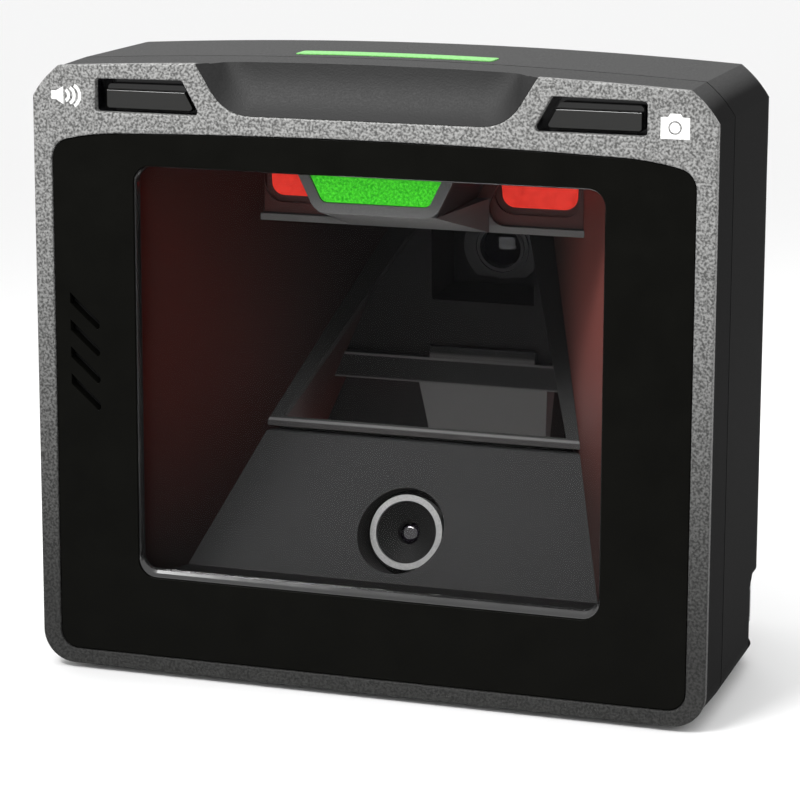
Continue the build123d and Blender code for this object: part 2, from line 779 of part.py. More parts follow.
def nose_outline(grow=0.0):
    """The green lens's outline: wider at the top, with round lower corners."""
    shape = Polygon((-12.0, 106.8), (12.0, 106.8), (16.3, 115.6), (-16.3, 115.6), align=None)
    shape = fillet(shape.vertices().group_by(Axis.Y)[0], 1.8)
    return offset(shape, grow) if grow else shape


def nose_frame():
    """Grey surround of the green lens."""
    return slab(nose_outline(2.4) - nose_outline(0.1), nose_depth - 1.4, nose_depth)


def green_lens():
    """Textured green lens that shows the aim."""
    return slab(nose_outline(), nose_depth - 1.0, nose_depth)


def red_diffuser():
    """Frosted red window in front of the right-hand lamps."""
    return slab(diffuser_outline(), step_wall, diffuser_back - 0.05)


def lamp_board():
    """Board on top of the moulding, with the diodes on its underside."""
    near, far = 12.2, bar_back - 0.1
    plan = ((-41, near), (41, near), (34.8, far), (-34.8, far))
    return plan_prism(plan, module_top, module_top + 1.2)


def red_diodes():
    """Red light-emitting diodes, three over each light well."""
    return [
        block((x - 1.1, x + 1.1), (diffuser_back + 0.3, diffuser_back + 2.1), (module_top - 1.0, module_top))
        for x in (-33, -28, -23, 23, 28, 33)
    ]


def green_diodes():
    """Green light-emitting diodes behind the nose lens."""
    return [block((x - 1.5, x + 1.5), (12.6, 15.6), (module_top - 1.0, module_top)) for x in (-5, 5)]


# ---------------------------------------------------------------- electronics
def main_board():
    """Main board, lying on four pillars in the bottom of the casing."""
    board = block((-52, 52), (19, 63.8), (board_low, board_low + board_thickness))
    board += block((51, 70.4), (44.0, 58.0), (board_low, board_low + board_thickness))
    for x, deep in board_screws:
        board -= Pos(x, front + deep, base + board_low) * Cylinder(1.6, 9)
    return board


def board_screw_set():
    """Four screws that hold the main board."""
    top = board_low + board_thickness
    return [
        Pos(x, front + deep, base + top + 0.8) * Cylinder(2.5, 1.6)
        + Pos(x, front + deep, base + top - 2.0) * Cylinder(1.05, 4.2)
        for x, deep in board_screws
    ]


def on_board(x, deep, across, along, high):
    """A rectangular component standing on the main board."""
    top = board_low + board_thickness
    return block((x - across / 2, x + across / 2), (deep - along / 2, deep + along / 2), (top, top + high))


def board_chips():
    """Processor, with two memory chips beside it."""
    return [on_board(-18, 34, 14, 14, 1.3)] + [on_board(-33, deep, 9, 11, 1.0) for deep in (28, 41)]


def power_shield():
    """Stamped can over the power circuit."""
    can = on_board(28, 36, 22, 17, 3.0)
    return can - on_board(28, 36, 21.4, 16.4, 2.7)


def board_connectors():
    """Flat-cable connectors on the main board."""
    places = ((0, 44.5, 11), (22.6, 60.5, 7), (-35, 56, 11))
    return [on_board(x, deep, across, 3.6, 1.8) for x, deep, across in places]


def host_port():
    """Modular socket for the host cable, opening into the rear bay."""
    top = board_low + board_thickness
    body = block((-7.9, 7.9), (49.0, bay_depth - 0.5), (top, top + 11.6))
    body -= block((-5.9, 5.9), (52.5, bay_depth + 1), (top + 1.8, top + 8.6))
    return body - block((-3.0, 3.0), (52.5, bay_depth + 1), (top + 8.5, top + 10.4))


def host_contacts():
    """Spring contacts inside the modular socket."""
    top = board_low + board_thickness
    return [
        block((x - 0.25, x + 0.25), (52.5, 60.0), (top + 1.8, top + 2.3))
        for x in (-4.6, -3.55, -2.5, -1.5, -0.5, 0.5, 1.5, 2.5, 3.55, 4.6)
    ]


def aux_port():
    """Auxiliary socket, opening into the side recess."""
    top = board_low + board_thickness
    body = block((57.0, recess_floor + 0.8), (46.8, 55.8), (top, top + 8.6))
    return body - block((60.0, width), (47.6, 55.0), (top + 1.1, top + 7.5))


def speaker_frame():
    """Oblong frame of the speaker."""
    ring = slab(Pos(-64.5, 71.7) * RectangleRounded(10.4, 30.0, 3.0), 6.6, 12.4)
    return ring - slab(Pos(-64.5, 71.7) * RectangleRounded(8.4, 28.0, 2.4), 6.0, 11.0)


def speaker_cone():
    """Cone of the speaker."""
    cone = slab(Pos(-64.5, 71.7) * RectangleRounded(8.2, 27.8, 2.3), 7.4, 9.0)
    return cone - slab(Pos(-64.5, 71.7) * RectangleRounded(5.0, 24.0, 1.5), 7.0, 8.2)


def speaker_gasket():
    """Foam ring that seals the speaker to the front casing."""
    ring = Pos(-64.5, 71.7) * (RectangleRounded(10.4, 30.0, 3.0) - RectangleRounded(8.4, 28.0, 2.4))
    return slab(ring, front_wall_back, 6.6)


def speaker_cloth():
    """Acoustic cloth behind the panel's sound slots."""
    return slab(Pos(-64.6, 71.7) * RectangleRounded(8.4, 27.8, 1.9), panel_back, panel_back + 0.3)


def flat_cable(points, left, right):
    """A flat flexible cable bent along (depth, height) points."""
    thick = 0.3
    strips = []
    for (d0, z0), (d1, z1) in zip(points, points[1:]):
        run = hypot(d1 - d0, z1 - z0)
        along = ((d1 - d0) / run, (z1 - z0) / run)
        over = thick / 2
        side = (-along[1] * over, along[0] * over)
        start = (d0 - along[0] * over, z0 - along[1] * over)
        end = (d1 + along[0] * over, z1 + along[1] * over)
        strips.append(
            side_prism(
                (
                    (start[0] - side[0], start[1] - side[1]),
                    (end[0] - side[0], end[1] - side[1]),
                    (end[0] + side[0], end[1] + side[1]),
                    (start[0] + side[0], start[1] + side[1]),
                ),
                left,
                right,
            )
        )
    cable = strips[0]
    for strip in strips[1:]:
        cable += strip
    return cable


def imager_cable():
    """Flat cable from the imager's board, down the casing's back, to the main board."""
    start = imager_board_low + 0.6
    end = board_low + board_thickness + 1.0
    route = ((79.8, start), (82.9, start), (82.9, 33.0), (62.9, 31.0), (62.9, end), (62.6, end))
    return flat_cable(route, 20.7, 24.5)


def camera_cable():
    """Flat cable from the colour camera's board to the main board."""
    return flat_cable(((39.5, 18.2), (38.9, 16.4), (41.2, 11.2), (42.4, 9.4)), -4.0, 4.0)


def button_wells():
    """Both wells."""
    return both_sides(button_well())


def button_boards():
    """Both button boards."""
    return both_sides(button_board())


def switch_bodies():
    """Both switches, without their plungers."""
    return both_sides(switch_body())


def red_diffusers():
    """Both diffusers."""
    return both_sides(red_diffuser())


def flat_cables():
    """Both flat cables."""
    return [imager_cable(), camera_cable()]


# ---------------------------------------------------------------- writing the parts
nodes = {
    "front_bezel": front_bezel,
    "front_panel": front_panel,
    "window_trim": window_trim,
    "scan_window": scan_window,
    "window_gasket": window_gasket,
    "front_casing": front_casing,
    "rear_casing": rear_casing,
    "light_bar": light_bar,
    "light_bar_board": light_bar_board,
    "light_bar_diodes": light_bar_diodes,
    "rubber_feet": rubber_feet,
    "casing_screws": casing_screws,
    "mounting_inserts": mounting_inserts,
    "button_wells": button_wells,
    "button_boards": button_boards,
    "switch_bodies": switch_bodies,
    "chamber_floor": chamber_floor,
    "sensor_deck": sensor_deck,
    "camera_ring": camera_ring,
    "camera_cone": camera_cone,
    "camera_lens": camera_lens,
    "camera_barrel": camera_barrel,
    "camera_board": camera_board,
    "mirror_frame": mirror_frame,
    "fold_mirror": fold_mirror,
    "mirror_pad": mirror_pad,
    "mirror_carrier": mirror_carrier,
    "chamber_ceiling": chamber_ceiling,
    "chamber_bulkhead": chamber_bulkhead,
    "imager_holder": imager_holder,
    "imager_lens": imager_lens,
    "imager_sensor": imager_sensor,
    "imager_board": imager_board,
    "illumination_housing": illumination_housing,
    "nose_frame": nose_frame,
    "green_lens": green_lens,
    "red_diffusers": red_diffusers,
    "lamp_board": lamp_board,
    "red_diodes": red_diodes,
    "green_diodes": green_diodes,
    "main_board": main_board,
    "board_screws": board_screw_set,
    "board_chips": board_chips,
    "power_shield": power_shield,
    "board_connectors": board_connectors,
    "host_port": host_port,
    "host_contacts": host_contacts,
    "aux_port": aux_port,
    "speaker_frame": speaker_frame,
    "speaker_cone": speaker_cone,
    "speaker_gasket": speaker_gasket,
    "speaker_cloth": speaker_cloth,
    "flat_cables": flat_cables,
}

# parts that come as a mirrored pair: the function makes the right-hand one
pairs = {
    "chamber_wall": (chamber_side_wall, "left", "right"),
    "button": (button, "volume", "camera"),
    "switch_plunger": (switch_plunger, "volume", "camera"),
}


def export(name, made):
    """Writes one node, of one or more solids, as parts/NAME.step."""
    shapes = made if isinstance(made, list) else [made]
    solids = [solid for shape in shapes for solid in shape.solids()]
    export_step(solids[0] if len(solids) == 1 else Compound(solids), f"parts/{name}.step")


if __name__ == "__main__":
    os.makedirs("parts", exist_ok=True)
    for name, make in nodes.items():
        export(name, make())
    for name, (make, left, right) in pairs.items():
        made = make()
        export(f"{right}_{name}", made)
        export(f"{left}_{name}", mirror(made, about=Plane.YZ))
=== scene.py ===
"""Looks of an upright presentation barcode scanner, put together piece by piece round its CAD frame.

Metres, in the CAD model's own frame: +X to the right as seen from the front, +Y back into the
casing, +Z up, with the middle of the footprint at the origin.
"""
from math import cos, pi, radians, sin

import bmesh
import bpy
from mathutils import Matrix, Vector


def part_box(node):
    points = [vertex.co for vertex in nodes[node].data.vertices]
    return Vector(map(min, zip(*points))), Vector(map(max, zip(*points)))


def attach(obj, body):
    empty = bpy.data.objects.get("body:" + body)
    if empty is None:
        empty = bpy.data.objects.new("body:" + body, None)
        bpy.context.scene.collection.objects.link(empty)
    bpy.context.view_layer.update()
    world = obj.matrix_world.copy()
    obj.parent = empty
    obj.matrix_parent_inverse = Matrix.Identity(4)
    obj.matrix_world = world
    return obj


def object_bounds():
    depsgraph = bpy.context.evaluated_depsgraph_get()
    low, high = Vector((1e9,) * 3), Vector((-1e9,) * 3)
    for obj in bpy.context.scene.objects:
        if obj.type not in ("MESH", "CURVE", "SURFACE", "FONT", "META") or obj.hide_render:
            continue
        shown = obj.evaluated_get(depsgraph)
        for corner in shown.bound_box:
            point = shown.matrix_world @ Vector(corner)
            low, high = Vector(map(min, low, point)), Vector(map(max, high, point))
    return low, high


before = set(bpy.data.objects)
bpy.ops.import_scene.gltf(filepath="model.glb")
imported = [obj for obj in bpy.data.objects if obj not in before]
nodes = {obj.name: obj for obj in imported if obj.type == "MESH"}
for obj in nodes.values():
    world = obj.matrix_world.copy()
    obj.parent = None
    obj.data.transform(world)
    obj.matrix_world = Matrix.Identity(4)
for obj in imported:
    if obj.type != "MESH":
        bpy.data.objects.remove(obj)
cad_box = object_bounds()
mm = 0.001

# ---------------------------------------------------------------- studio
# The scanner stands on a plain pale floor in even white light. A soft strip with a narrow beam
# brightens the upper part of its face, and a wide box overhead lights its top.
floor_half = 6.0                       # half the floor's width, in metres
camera_data = bpy.data.cameras.new("camera")
camera_data.lens = 133.4
camera_data.sensor_width = 36.0
camera_data.shift_y = -0.1
camera = bpy.data.objects.new("camera", camera_data)
camera.location = (0.2015, -0.6273, 0.2071)
camera.rotation_euler = (radians(90 - 11.24), radians(-0.16), radians(18.32))
bpy.context.scene.collection.objects.link(camera)
bpy.context.scene.camera = camera
bpy.context.scene.view_settings.view_transform = "Standard"


def soft_box(name, place, target, size, power, spread=180.0):
    """A rectangular studio light that faces a point; spread is its beam's full angle in degrees."""
    data = bpy.data.lights.new(name, "AREA")
    data.shape = "RECTANGLE"
    data.size, data.size_y = size
    data.energy = power
    data.spread = radians(spread)
    light = bpy.data.objects.new(name, data)
    light.location = place
    light.rotation_euler = (Vector(target) - Vector(place)).to_track_quat("-Z", "Y").to_euler()
    bpy.context.scene.collection.objects.link(light)


soft_box("face_strip", (-0.16, -0.34, 0.44), (-0.01, -0.043, 0.150), (0.30, 0.10), 0.30, 50)
soft_box("top_box", (0.0, 0.12, 0.60), (0, 0.0, 0.1), (0.7, 0.4), 0.5, 100)

world = bpy.data.worlds.new("studio")
world.use_nodes = True
world.node_tree.nodes["Background"].inputs["Color"].default_value = (1, 1, 1, 1)
world.node_tree.nodes["Background"].inputs["Strength"].default_value = 1.0
bpy.context.scene.world = world

floor_mesh = bmesh.new()
bmesh.ops.create_grid(floor_mesh, x_segments=1, y_segments=1, size=floor_half)
floor_data = bpy.data.meshes.new("floor")
floor_mesh.to_mesh(floor_data)
floor = bpy.data.objects.new("floor", floor_data)
bpy.context.scene.collection.objects.link(floor)
paper = bpy.data.materials.new("studio_paper")
paper.use_nodes = True
paper.node_tree.nodes["Principled BSDF"].inputs["Base Color"].default_value = (0.92, 0.92, 0.92, 1)
paper.node_tree.nodes["Principled BSDF"].inputs["Roughness"].default_value = 0.9
floor_data.materials.append(paper)

# ---------------------------------------------------------------- bezel
# The face plate is moulded in grey plastic and sprayed with a silver textured paint, whose
# fine pebbles catch the light. It frames the gloss panel, both keys and the scooped brow.


def add(tree, kind, inputs=(), **settings):
    """A shader node with its options and its input values set."""
    made = tree.nodes.new(kind)
    for option, value in settings.items():
        setattr(made, option, value)
    for socket, value in dict(inputs).items():
        made.inputs[socket].default_value = value
    return made


def new_finish(name, colour, roughness, specular=0.5, metallic=0.0):
    """A material whose Principled shader has a base colour, a roughness and a specular level."""
    material = bpy.data.materials.new(name)
    material.use_nodes = True
    tree = material.node_tree
    shader = tree.nodes["Principled BSDF"]
    shader.inputs["Base Color"].default_value = (*colour, 1)
    shader.inputs["Roughness"].default_value = roughness
    shader.inputs["Specular IOR Level"].default_value = specular
    shader.inputs["Metallic"].default_value = metallic
    return material, tree, shader


def in_object(tree):
    """The point on the piece, in metres."""
    return add(tree, "ShaderNodeTexCoord").outputs["Object"]


def shades(tree, factor, low, high, start=0.3, end=0.7):
    """A colour that goes from low to high as the factor goes from start to end."""
    ramp = add(tree, "ShaderNodeValToRGB")
    ramp.color_ramp.elements[0].position = start
    ramp.color_ramp.elements[1].position = end
    ramp.color_ramp.elements[0].color = (*low, 1)
    ramp.color_ramp.elements[1].color = (*high, 1)
    tree.links.new(factor, ramp.inputs["Fac"])
    return ramp.outputs["Color"]


def ranged(tree, factor, low, high):
    """A number that goes from low to high as the factor goes from 0.3 to 0.7."""
    limits = {"From Min": 0.3, "From Max": 0.7, "To Min": low, "To Max": high}
    span = add(tree, "ShaderNodeMapRange", limits)
    tree.links.new(factor, span.inputs["Value"])
    return span.outputs["Result"]


def tinted(tree, shader, factor, low, high, start=0.3, end=0.7):
    """Colours the surface from low to high as the factor goes from start to end."""
    tree.links.new(shades(tree, factor, low, high, start, end), shader.inputs["Base Color"])


def roughened(tree, shader, factor, low, high):
    """Roughness that goes from low to high with the factor."""
    tree.links.new(ranged(tree, factor, low, high), shader.inputs["Roughness"])


def along(tree, axis, start, end):
    """0 to 1 along an axis, smoothly, from start to end in millimetres; start may be the higher."""
    parts = add(tree, "ShaderNodeSeparateXYZ")
    tree.links.new(in_object(tree), parts.inputs[0])
    flipped = start > end
    limits = {"From Min": min(start, end) * mm, "From Max": max(start, end) * mm,
              "To Min": float(flipped), "To Max": float(not flipped)}
    span = add(tree, "ShaderNodeMapRange", limits, interpolation_type="SMOOTHSTEP")
    tree.links.new(parts.outputs[axis], span.inputs["Value"])
    return span.outputs["Result"]


def both(tree, first, second, operation="MULTIPLY"):
    """Two factors put together."""
    maths = add(tree, "ShaderNodeMath", operation=operation)
    tree.links.new(first, maths.inputs[0])
    tree.links.new(second, maths.inputs[1])
    return maths.outputs[0]


def mixed(tree, factor, first, second):
    """The first colour where the factor is 0 and the second where it is 1; either may be linked."""
    mix = add(tree, "ShaderNodeMix", data_type="RGBA")
    tree.links.new(factor, mix.inputs["Factor"])
    for socket, colour in (("A", first), ("B", second)):
        target = [one for one in mix.inputs if one.name == socket and one.type == "RGBA"][0]
        if isinstance(colour, tuple):
            target.default_value = (*colour, 1)
        else:
            tree.links.new(colour, target)
    return [one for one in mix.outputs if one.type == "RGBA"][0]


def bumped(tree, shader, height, depth, before=None):
    """Raises the surface by a height pattern; depth is in metres."""
    bump = add(tree, "ShaderNodeBump", {"Strength": 1.0, "Distance": depth})
    tree.links.new(height, bump.inputs["Height"])
    if before:
        tree.links.new(before, bump.inputs["Normal"])
    tree.links.new(bump.outputs["Normal"], shader.inputs["Normal"])
    return bump.outputs["Normal"]


def grain(tree, size, detail=2.0, rough=0.6):
    """Noise whose blobs are about size across."""
    noise = add(tree, "ShaderNodeTexNoise", {"Scale": 1 / size, "Detail": detail, "Roughness": rough})
    tree.links.new(in_object(tree), noise.inputs["Vector"])
    return noise.outputs["Fac"]


def coat(material, *names):
    """Gives CAD nodes one material."""
    for name in names:
        nodes[name].data.materials.clear()
        nodes[name].data.materials.append(material)


def textured_paint():
    """Silver spray: light pebbles on a darker ground; their fall to dark grey towards the foot is
    painted shade.
    """
    light, dark, foot = (0.30, 0.30, 0.295), (0.085, 0.085, 0.083), (0.042, 0.042, 0.041)
    material, tree, shader = new_finish("silver_textured_paint", light, 0.5, 0.08, 0.15)
    stones = grain(tree, 0.55 * mm, 1.5, 0.5)
    pebbled = shades(tree, stones, dark, light, 0.36, 0.64)
    # painted shade: towards the foot the pebbles fade to this darker copy
    shaded_lower = shades(tree, stones, tuple(0.5 * c for c in foot), foot, 0.36, 0.64)
    tree.links.new(mixed(tree, along(tree, 2, 125, 10), pebbled, shaded_lower), shader.inputs["Base Color"])
    roughened(tree, shader, grain(tree, 0.5 * mm), 0.38, 0.55)
    bumped(tree, shader, stones, 0.16 * mm)
    return material


coat(textured_paint(), "front_bezel")

# ---------------------------------------------------------------- printed symbols
# The two keys' symbols, a loudspeaker with three waves and a still camera, are pad printed on
# the bezel in white ink, a few hundredths of a millimetre thick.
ink_front, ink_back = -0.03, 0.05      # depths of the ink's face and back


def white_ink():
    material, tree, shader = new_finish("white_ink", (0.8, 0.8, 0.79), 0.5, 0.3)
    specks = grain(tree, 0.4 * mm, 2.0)
    tinted(tree, shader, specks, (0.62, 0.62, 0.61), (0.95, 0.95, 0.94))
    bumped(tree, shader, specks, 0.04 * mm)
    return material


ink = white_ink()


def ring_points(across, up, radius, start=0.0, turn=360.0, steps=32):
    """Points on an arc, in the front view."""
    count = steps if turn == 360.0 else steps + 1
    angles = [radians(start + turn * step / steps) for step in range(count)]
    return [(across + radius * cos(angle), up + radius * sin(angle)) for angle in angles]


def printed(name, outlines):
    """A flat symbol on the bezel's face; outlines are (across, height) points, holes included."""
    curve = bpy.data.curves.new(name, "CURVE")
    curve.dimensions = "2D"
    curve.fill_mode = "BOTH"
    curve.extrude = (ink_back - ink_front) / 2 * mm
    for outline in outlines:
        spline = curve.splines.new("POLY")
        spline.points.add(len(outline) - 1)
        for point, (across, up) in zip(spline.points, outline):
            point.co = (across * mm, up * mm, 0, 1)
        spline.use_cyclic_u = True
    flat = bpy.data.objects.new(name + "_curve", curve)
    bpy.context.scene.collection.objects.link(flat)
    mesh = bpy.data.meshes.new_from_object(flat)
    bpy.data.objects.remove(flat)
    front = cad_box[0][1] + (ink_front + ink_back) / 2 * mm
    casing_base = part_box("front_bezel")[0][2] - 0.25 * mm
    mesh.transform(Matrix.Translation((0, front, casing_base)) @ Matrix.Rotation(pi / 2, 4, "X"))
    mesh.materials.append(ink)
    piece = bpy.data.objects.new(name, mesh)
    bpy.context.scene.collection.objects.link(piece)
    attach(piece, "housing")
    return piece


speaker_middle = 128.5
speaker_body = [(-71.4, -0.95), (-70.3, -0.95), (-68.6, -1.95), (-68.6, 1.95), (-70.3, 0.95),
                (-71.4, 0.95)]
speaker_outlines = [[(across, speaker_middle + up) for across, up in speaker_body]]
for wave in range(3):
    radius, middle, reach, stroke = 1.65 + 0.63 * wave, -68.65 + 0.68 * wave, 60.0, 0.68
    outer = ring_points(middle, speaker_middle, radius, -reach, 2 * reach, 14)
    inner = ring_points(middle, speaker_middle, radius - stroke, reach, -2 * reach, 14)
    speaker_outlines.append(outer + inner)
printed("speaker_symbol", speaker_outlines)

camera_middle = (67.0, 127.3)
camera_body = [(64.0, 125.0), (70.1, 125.0), (70.1, 129.4), (68.6, 129.5), (68.1, 130.2), (66.0, 130.2),
               (65.5, 129.5), (64.0, 129.4)]
printed("camera_symbol", [
    camera_body,
    ring_points(*camera_middle, 1.42),
    ring_points(*camera_middle, 1.08),
])

# ---------------------------------------------------------------- gloss panel and trim
# The panel and the ring that lines its window are moulded in black acrylic and polished.
# Fingers leave the faintest haze on them.


def gloss_black(name, roughness, specular, colour=(0.0035, 0.0035, 0.003)):
    material, tree, shader = new_finish(name, colour, roughness, specular)
    haze = grain(tree, 9 * mm, 3.0)
    roughened(tree, shader, haze, roughness, roughness + 0.05)
    lighter = tuple(1.3 * c for c in colour)
    tinted(tree, shader, haze, colour, lighter)
    return material


coat(gloss_black("panel_gloss", 0.08, 0.025, (0.003, 0.003, 0.0025)), "front_panel")
coat(gloss_black("trim_gloss", 0.08, 0.9, (0.006, 0.006, 0.006)), "window_trim")

# ---------------------------------------------------------------- speaker
# A slim oblong speaker stands behind the panel's four slots: moulded frame, coated paper cone,
# foam ring, and a black acoustic cloth glued behind the slots to keep dust out.


def cloth_black():
    material, tree, shader = new_finish("acoustic_cloth", (0.006, 0.006, 0.006), 0.9, 0.2)
    weave = add(tree, "ShaderNodeTexChecker", {"Scale": 1 / (0.25 * mm)})
    tree.links.new(in_object(tree), weave.inputs["Vector"])
    tinted(tree, shader, weave.outputs["Fac"], (0.003, 0.003, 0.003), (0.012, 0.012, 0.012))
    bumped(tree, shader, weave.outputs["Fac"], 0.05 * mm)
    return material


def moulded(name, colour, roughness=0.5, size=0.5 * mm, depth=0.02 * mm, specular=0.5):
    """Plain moulded plastic with a fine even texture."""
    material, tree, shader = new_finish(name, colour, roughness, specular)
    fine = grain(tree, size, 2.0)
    darker = tuple(0.78 * c for c in colour)
    tinted(tree, shader, fine, darker, colour)
    roughened(tree, shader, fine, roughness, roughness * 1.12)
    bumped(tree, shader, fine, depth)
    return material


coat(cloth_black(), "speaker_cloth")
coat(moulded("cone_paper", (0.03, 0.03, 0.028), 0.8, 0.8 * mm, 0.06 * mm), "speaker_cone")
coat(moulded("foam_black", (0.02, 0.02, 0.02), 0.95, 0.6 * mm, 0.15 * mm), "speaker_gasket",
     "window_gasket", "mirror_pad")
coat(moulded("speaker_black", (0.025, 0.025, 0.026), 0.45), "speaker_frame")

# ---------------------------------------------------------------- keys and switches
# Two gloss black keycaps slide in gloss black wells, each on a stem. The stem meets the
# plunger of a tact switch, soldered to a small board that closes the well's back.
coat(gloss_black("key_gloss", 0.07, 0.55), "volume_button", "camera_button")
coat(gloss_black("well_gloss", 0.12, 0.35, (0.005, 0.005, 0.006)), "button_wells")
coat(moulded("switch_black", (0.03, 0.03, 0.03), 0.4), "switch_bodies")
coat(moulded("plunger_white", (0.55, 0.54, 0.5), 0.4), "volume_switch_plunger", "camera_switch_plunger")

# ---------------------------------------------------------------- scan window
# A polished clear pane, bonded to the foam behind it. It tints and mirrors only a little.


def clear_pane():
    material, tree, shader = new_finish("clear_pane", (0.9, 0.9, 0.9), 0.02)
    clear = add(tree, "ShaderNodeBsdfTransparent", {"Color": (0.97, 0.97, 0.97, 1)})
    gloss = add(tree, "ShaderNodeBsdfGlossy", {"Color": (1, 1, 1, 1), "Roughness": 0.02})
    fresnel = add(tree, "ShaderNodeFresnel", {"IOR": 1.1})
    blend = add(tree, "ShaderNodeMixShader")
    tree.links.new(fresnel.outputs["Fac"], blend.inputs["Fac"])
    tree.links.new(clear.outputs["BSDF"], blend.inputs[1])
    tree.links.new(gloss.outputs["BSDF"], blend.inputs[2])
    tree.links.new(blend.outputs["Shader"], tree.nodes["Material Output"].inputs["Surface"])
    tree.nodes.remove(shader)
    return material


coat(clear_pane(), "scan_window")

# ---------------------------------------------------------------- casings
# Two shells moulded in charcoal plastic with a fine spark-eroded grain, dull enough to hide
# fingerprints. The front one carries the scooped brow; four screws from behind join them. The
# two sides have less sheen than the top and the back: this is painted shade that darkens the sides
# the way their lighting does, not a difference in the plastic.
shaded_side_sheen, top_sheen = 0.005, 0.24
sheen_edge, side_edge = 70, 74.5       # the sheen fades out between these, to either side


def charcoal():
    material, tree, shader = new_finish("charcoal_casing", (0.009, 0.009, 0.009), 0.55, 0.2)
    fine = grain(tree, 0.45 * mm, 2.5)
    tinted(tree, shader, fine, (0.006, 0.006, 0.006), (0.012, 0.012, 0.012))
    roughened(tree, shader, fine, 0.50, 0.62)
    # painted shade: the sheen drops on both sides
    between_sides = both(tree, along(tree, 0, side_edge, sheen_edge),
                         along(tree, 0, -side_edge, -sheen_edge))
    sheen = add(tree, "ShaderNodeMapRange", {"To Min": shaded_side_sheen, "To Max": top_sheen})
    tree.links.new(between_sides, sheen.inputs["Value"])
    tree.links.new(sheen.outputs["Result"], shader.inputs["Specular IOR Level"])
    bumped(tree, shader, fine, 0.05 * mm)
    return material


coat(charcoal(), "front_casing", "rear_casing")

# ---------------------------------------------------------------- feet, screws and inserts
# Black rubber feet are glued in the underside. The casing screws are zinc plated; the two
# threaded inserts in the back are turned brass, knurled and pressed in hot.


def turned_metal(name, colour, roughness):
    material, tree, shader = new_finish(name, colour, roughness, 0.5, 1.0)
    marks = grain(tree, 0.3 * mm, 3.0)
    darker = tuple(0.7 * c for c in colour)
    tinted(tree, shader, marks, darker, colour)
    roughened(tree, shader, marks, roughness, roughness + 0.15)
    bumped(tree, shader, marks, 0.02 * mm)
    return material


zinc = turned_metal("plated_steel", (0.55, 0.55, 0.56), 0.28)
brass = turned_metal("turned_brass", (0.72, 0.50, 0.20), 0.25)
coat(moulded("rubber_black", (0.018, 0.018, 0.018), 0.85, 0.4 * mm, 0.05 * mm), "rubber_feet")
coat(zinc, "casing_screws")
coat(brass, "mounting_inserts")

# ---------------------------------------------------------------- light bar
# A bar of green frosted acrylic is let into the top, over a strip of four diodes on its own
# small board. It glows softly when the scanner is ready.


def glowing(name, dark, light, grain_size, glow, roughness, depth=0.05 * mm):
    material, tree, shader = new_finish(name, light, roughness, 0.12)
    fine = grain(tree, grain_size, 2.0, 0.7)
    colour = shades(tree, fine, dark, light, 0.36, 0.64)
    tree.links.new(colour, shader.inputs["Base Color"])
    tree.links.new(colour, shader.inputs["Emission Color"])
    shader.inputs["Emission Strength"].default_value = glow
    bumped(tree, shader, fine, depth)
    return material


def circuit_board():
    material, tree, shader = new_finish("solder_mask", (0.01, 0.12, 0.05), 0.3)
    traces = add(tree, "ShaderNodeTexBrick", {"Scale": 1 / (6 * mm), "Mortar Size": 0.03},
                 offset=0.5, squash=0.6)
    tree.links.new(in_object(tree), traces.inputs["Vector"])
    colour = shades(tree, traces.outputs["Fac"], (0.008, 0.10, 0.045), (0.02, 0.20, 0.09), 0.2, 0.8)
    tree.links.new(colour, shader.inputs["Base Color"])
    bumped(tree, shader, traces.outputs["Fac"], 0.03 * mm)
    return material


board_green = circuit_board()
coat(glowing("light_bar_frosted", (0.10, 0.36, 0.07), (0.16, 0.46, 0.12), 0.8 * mm, 0.15, 0.35),
     "light_bar")
coat(board_green, "light_bar_board", "button_boards")
coat(glowing("green_diode", (0.3, 0.6, 0.2), (0.5, 0.9, 0.4), 0.5 * mm, 1.0, 0.3), "light_bar_diodes",
     "green_diodes")

# ---------------------------------------------------------------- chamber
# The optical chamber is moulded in matt black plastic. Its walls carry painted red lamplight,
# strongest high up near the window; the deck and the floor are neutral.
chamber_black = moulded("chamber_black", (0.012, 0.012, 0.012), 0.6, 0.5 * mm, 0.02 * mm, 0.2)


def painted_lamplight_wall(name, dark, red, back_edge, front_edge, low_edge, high_edge):
    """Matt black, with painted red lamplight towards the window and the lamps."""
    material, tree, shader = new_finish(name, dark, 0.6, 0.08)
    near = along(tree, 1, back_edge, front_edge)
    high = along(tree, 2, low_edge, high_edge)
    tree.links.new(mixed(tree, both(tree, near, high), dark, red), shader.inputs["Base Color"])
    bumped(tree, shader, grain(tree, 0.5 * mm), 0.02 * mm)
    return material


coat(painted_lamplight_wall("left_wall_painted_lamplight", (0.009, 0.006, 0.006), (0.052, 0.006, 0.004),
                  back_edge=25, front_edge=-40, low_edge=15, high_edge=75), "left_chamber_wall")
coat(painted_lamplight_wall("right_wall_painted_lamplight", (0.035, 0.018, 0.016), (0.16, 0.045, 0.038),
                  back_edge=34, front_edge=-10, low_edge=35, high_edge=85), "right_chamber_wall")
coat(chamber_black, "chamber_ceiling", "chamber_bulkhead")
coat(moulded("deck_black", (0.030, 0.030, 0.0305), 0.6, 0.5 * mm, 0.015 * mm, 0.12), "sensor_deck")
coat(moulded("floor_black", (0.012, 0.012, 0.012), 0.6, 0.5 * mm, 0.015 * mm, 0.15), "chamber_floor")

# ---------------------------------------------------------------- colour camera
# The colour camera looks out through the deck. A satin grey ring surrounds its shallow black
# cone, and the small domed lens stands in the cone's throat. Its board is behind.


def ring_grey():
    material, tree, shader = new_finish("ring_grey", (0.30, 0.30, 0.30), 0.4, 0.5)
    fine = grain(tree, 0.5 * mm, 3.0)
    tinted(tree, shader, fine, (0.26, 0.26, 0.26), (0.36, 0.36, 0.355))
    bumped(tree, shader, fine, 0.03 * mm)
    return material


def lens_glass():
    material, tree, shader = new_finish("lens_glass", (0.004, 0.004, 0.006), 0.04, 0.9)
    coating = grain(tree, 3 * mm)
    tinted(tree, shader, coating, (0.003, 0.003, 0.005), (0.009, 0.006, 0.011))
    return material


